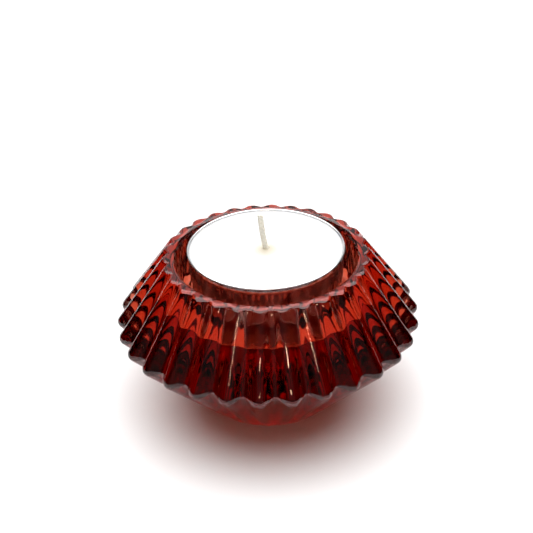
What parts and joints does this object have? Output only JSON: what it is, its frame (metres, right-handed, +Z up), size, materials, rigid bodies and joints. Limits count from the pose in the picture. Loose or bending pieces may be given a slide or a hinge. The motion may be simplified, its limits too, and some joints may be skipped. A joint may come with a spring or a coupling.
{
  "type": "tealight holder",
  "caption": "Ribbed ruby glass tealight holder, a double cone on a small foot, with a white tealight in an aluminium cup in its pocket.",
  "frame": {"origin": "centre of the foot, on the table", "axes": "+Z up along the axis of the glass; a rib crest lies on +X; -Y is the front; the wick leans towards -X"},
  "size_m": [0.0742, 0.0738, 0.0501],
  "materials": {
    "ruby_glass": "fire-polished pressed glass, transparent ruby red",
    "cup_aluminium": "bright drawn foil",
    "white_wax": "smooth pressed paraffin wax, translucent white",
    "wick_cotton": "waxed braided cotton",
    "sustainer_metal": "thin tinned steel stamping"
  },
  "bodies": {
    "holder": {"glass_holder": "ruby_glass"},
    "cup": {"tealight_cup": "cup_aluminium"},
    "candle": {"wax": "white_wax", "wick": "wick_cotton", "wick_sustainer": "sustainer_metal"}
  },
  "joints": [
    {"name": "tealight_lift", "type": "slide", "parent": "holder", "child": "cup", "axis": [0, 0, 1], "range_m": [0, 0.03]},
    {"name": "wax_lift", "type": "slide", "parent": "cup", "child": "candle", "axis": [0, 0, 1], "range_m": [0, 0.02]}
  ]
}
